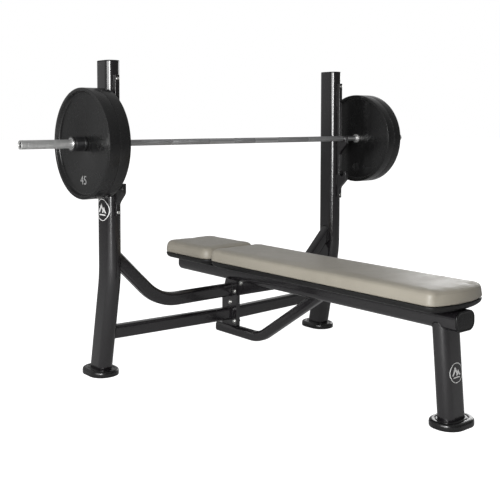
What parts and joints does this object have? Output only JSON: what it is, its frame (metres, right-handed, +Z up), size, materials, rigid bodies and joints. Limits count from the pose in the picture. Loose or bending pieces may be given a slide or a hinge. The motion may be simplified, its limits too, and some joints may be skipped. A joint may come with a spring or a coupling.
{
  "type": "olympic bench press",
  "caption": "Flat padded bench on a low spine with leaning uprights whose hooks hold a loaded barbell; the bar lifts out, its sleeves spin, and weights and collars slide.",
  "frame": {"origin": "on the floor, at the centre of the part's footprint: on the bench's centre line, midway between the front foot's foot-end edge and the spine's head end", "axes": "+X along the bar to the lifter's left as they lie, +Y along the bench towards the lifter's head, +Z up"},
  "size_m": [2.2, 1.656, 1.333],
  "materials": {
    "frame_paint": "charcoal powder coat, satin",
    "upholstery": "warm stone-grey vinyl, satin with fine grain",
    "pad_board": "matt black backing board",
    "foot_rubber": "moulded black rubber, semi-matt",
    "black_plastic": "moulded black plastic",
    "weight_coating": "dark grey baked enamel, matt",
    "collar_black": "black, satin",
    "bushing_bronze": "oiled bronze",
    "bar_steel": "satin steel with knurled zones",
    "sleeve_steel": "satin steel",
    "bright_fastener": "bright zinc"
  },
  "bodies": {
    "frame": {"brace": "frame_paint", "brace_cap": "black_plastic", "centre_plate": "frame_paint", "flange_bolt_1": "bright_fastener", "flange_bolt_2": "bright_fastener", "flange_bolt_3": "bright_fastener", "flange_nut_1": "bright_fastener", "flange_nut_2": "bright_fastener", "flange_nut_3": "bright_fastener", "front_foot": "foot_rubber", "front_leg": "frame_paint", "gusset_bolt": "bright_fastener", "gusset_nut": "bright_fastener", "head_board": "pad_board", "head_pad": "upholstery", "left_flange": "frame_paint", "left_foot": "foot_rubber", "left_lower_arm": "frame_paint", "left_lower_hook_liner": "black_plastic", "left_rack_bolt_1": "bright_fastener", "left_rack_bolt_2": "bright_fastener", "left_rack_plate": "frame_paint", "left_upper_arm": "frame_paint", "left_upper_hook_liner": "black_plastic", "left_upright": "frame_paint", "left_upright_cap": "black_plastic", "main_board": "pad_board", "main_pad": "upholstery", "right_flange": "frame_paint", "right_foot": "foot_rubber", "right_lower_arm": "frame_paint", "right_lower_hook_liner": "black_plastic", "right_rack_bolt_1": "bright_fastener", "right_rack_bolt_2": "bright_fastener", "right_rack_plate": "frame_paint", "right_upper_arm": "frame_paint", "right_upper_hook_liner": "black_plastic", "right_upright": "frame_paint", "right_upright_cap": "black_plastic", "spine": "frame_paint", "spine_foot_cap": "black_plastic", "spine_head_cap": "black_plastic"},
    "barbell": {"bar_shaft": "bar_steel"},
    "left_sleeve": {"left_sleeve": "sleeve_steel", "left_inner_bushing": "bushing_bronze", "left_outer_bushing": "bushing_bronze", "left_sleeve_plug": "black_plastic"},
    "left_weights": {"left_inner_weight": "weight_coating", "left_outer_weight": "weight_coating"},
    "left_collar": {"left_collar": "collar_black", "left_collar_screw": "bright_fastener"},
    "right_sleeve": {"right_sleeve": "sleeve_steel", "right_inner_bushing": "bushing_bronze", "right_outer_bushing": "bushing_bronze", "right_sleeve_plug": "black_plastic"},
    "right_weights": {"right_inner_weight": "weight_coating", "right_outer_weight": "weight_coating"},
    "right_collar": {"right_collar": "collar_black", "right_collar_screw": "bright_fastener"}
  },
  "joints": [
    {"name": "bar_lift", "type": "slide", "parent": "frame", "child": "barbell", "axis": [0, 0, 1], "range_m": [0, 0.12]},
    {"name": "left_sleeve_spin", "type": "hinge", "parent": "barbell", "child": "left_sleeve", "pos_m": [-0.925, 0.39, 0.994], "axis": [1, 0, 0], "continuous": true},
    {"name": "left_weights_slide", "type": "slide", "parent": "left_sleeve", "child": "left_weights", "axis": [-1, 0, 0], "range_m": [0, 0.1]},
    {"name": "left_collar_slide", "type": "slide", "parent": "left_weights", "child": "left_collar", "axis": [-1, 0, 0], "range_m": [0, 0.1]},
    {"name": "right_sleeve_spin", "type": "hinge", "parent": "barbell", "child": "right_sleeve", "pos_m": [0.925, 0.39, 0.994], "axis": [1, 0, 0], "continuous": true},
    {"name": "right_weights_slide", "type": "slide", "parent": "right_sleeve", "child": "right_weights", "axis": [1, 0, 0], "range_m": [0, 0.1]},
    {"name": "right_collar_slide", "type": "slide", "parent": "right_weights", "child": "right_collar", "axis": [1, 0, 0], "range_m": [0, 0.1]}
  ]
}
